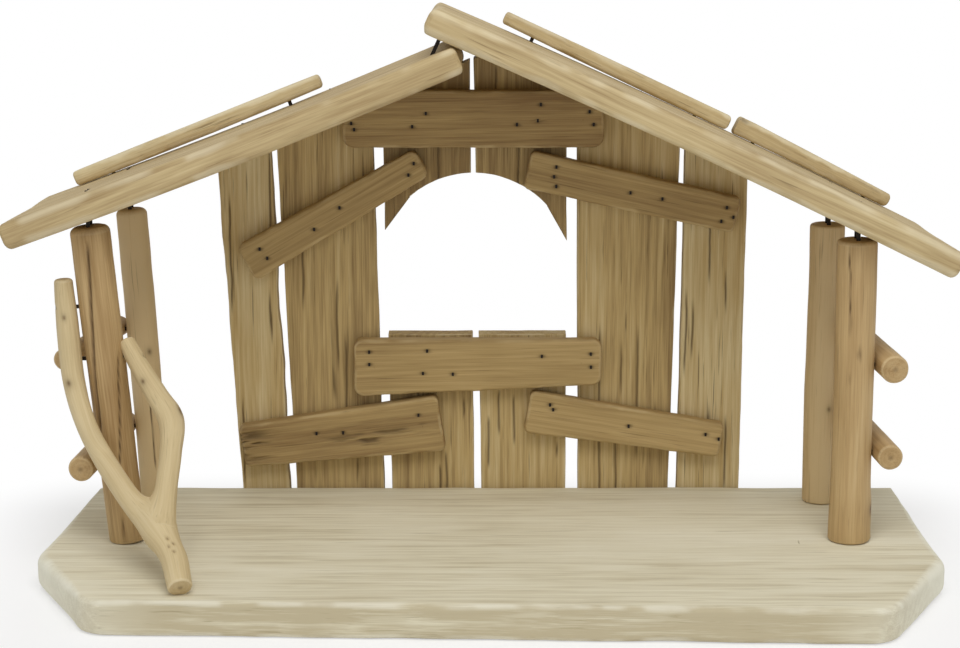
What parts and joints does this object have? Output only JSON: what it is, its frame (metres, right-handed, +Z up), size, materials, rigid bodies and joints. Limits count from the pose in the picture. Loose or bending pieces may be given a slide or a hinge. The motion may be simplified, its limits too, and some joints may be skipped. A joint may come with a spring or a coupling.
{
  "type": "nativity stable",
  "caption": "Open-front wooden stable for nativity figures: board back with an arched window, peeled-branch posts and rails, a lapped plank roof and a forked branch on a thick base.",
  "frame": {"origin": "on the underside of the base plank, below the middle of the figure bay", "axes": "+X to the right seen from the open front, +Y to the back wall, +Z up"},
  "size_m": [0.5099, 0.2282, 0.3113],
  "materials": {
    "base_wood": "bleached sawn plank, matt",
    "wall_wood": "weathered rough sawn board, matt",
    "batten_wood": "sanded offcut, matt",
    "roof_wood": "planed plank, matt",
    "branch_wood": "peeled branch, satin",
    "fork_wood": "peeled twig, matt",
    "brad_steel": "dull bare wire"
  },
  "bodies": {
    "root": {"base_plank": "base_wood", "back_board_far_left": "wall_wood", "back_board_left": "wall_wood", "gable_board_left": "wall_wood", "gable_board_right": "wall_wood", "sill_board_left": "wall_wood", "sill_board_right": "wall_wood", "back_board_right": "wall_wood", "back_board_far_right": "wall_wood", "collar_batten": "batten_wood", "sill_batten": "batten_wood", "brace_upper_left": "batten_wood", "brace_upper_right": "batten_wood", "brace_lower_left": "batten_wood", "brace_lower_right": "batten_wood", "roof_plank_left": "roof_wood", "roof_plank_right": "roof_wood", "roof_lath_left": "roof_wood", "roof_lath_right_upper": "roof_wood", "roof_lath_right_lower": "roof_wood", "front_post_left": "branch_wood", "rear_post_left": "branch_wood", "front_post_right": "branch_wood", "rear_post_right": "branch_wood", "side_rail_left_lower": "branch_wood", "side_rail_left_upper": "branch_wood", "side_rail_right_lower": "branch_wood", "side_rail_right_upper": "branch_wood", "forked_branch": "fork_wood", "batten_brads": "brad_steel", "wall_nails": "brad_steel", "roof_nails": "brad_steel", "ridge_nails": "brad_steel", "lath_brads": "brad_steel", "rail_brads": "brad_steel", "branch_brads": "brad_steel", "base_nails": "brad_steel"}
  },
  "joints": []
}
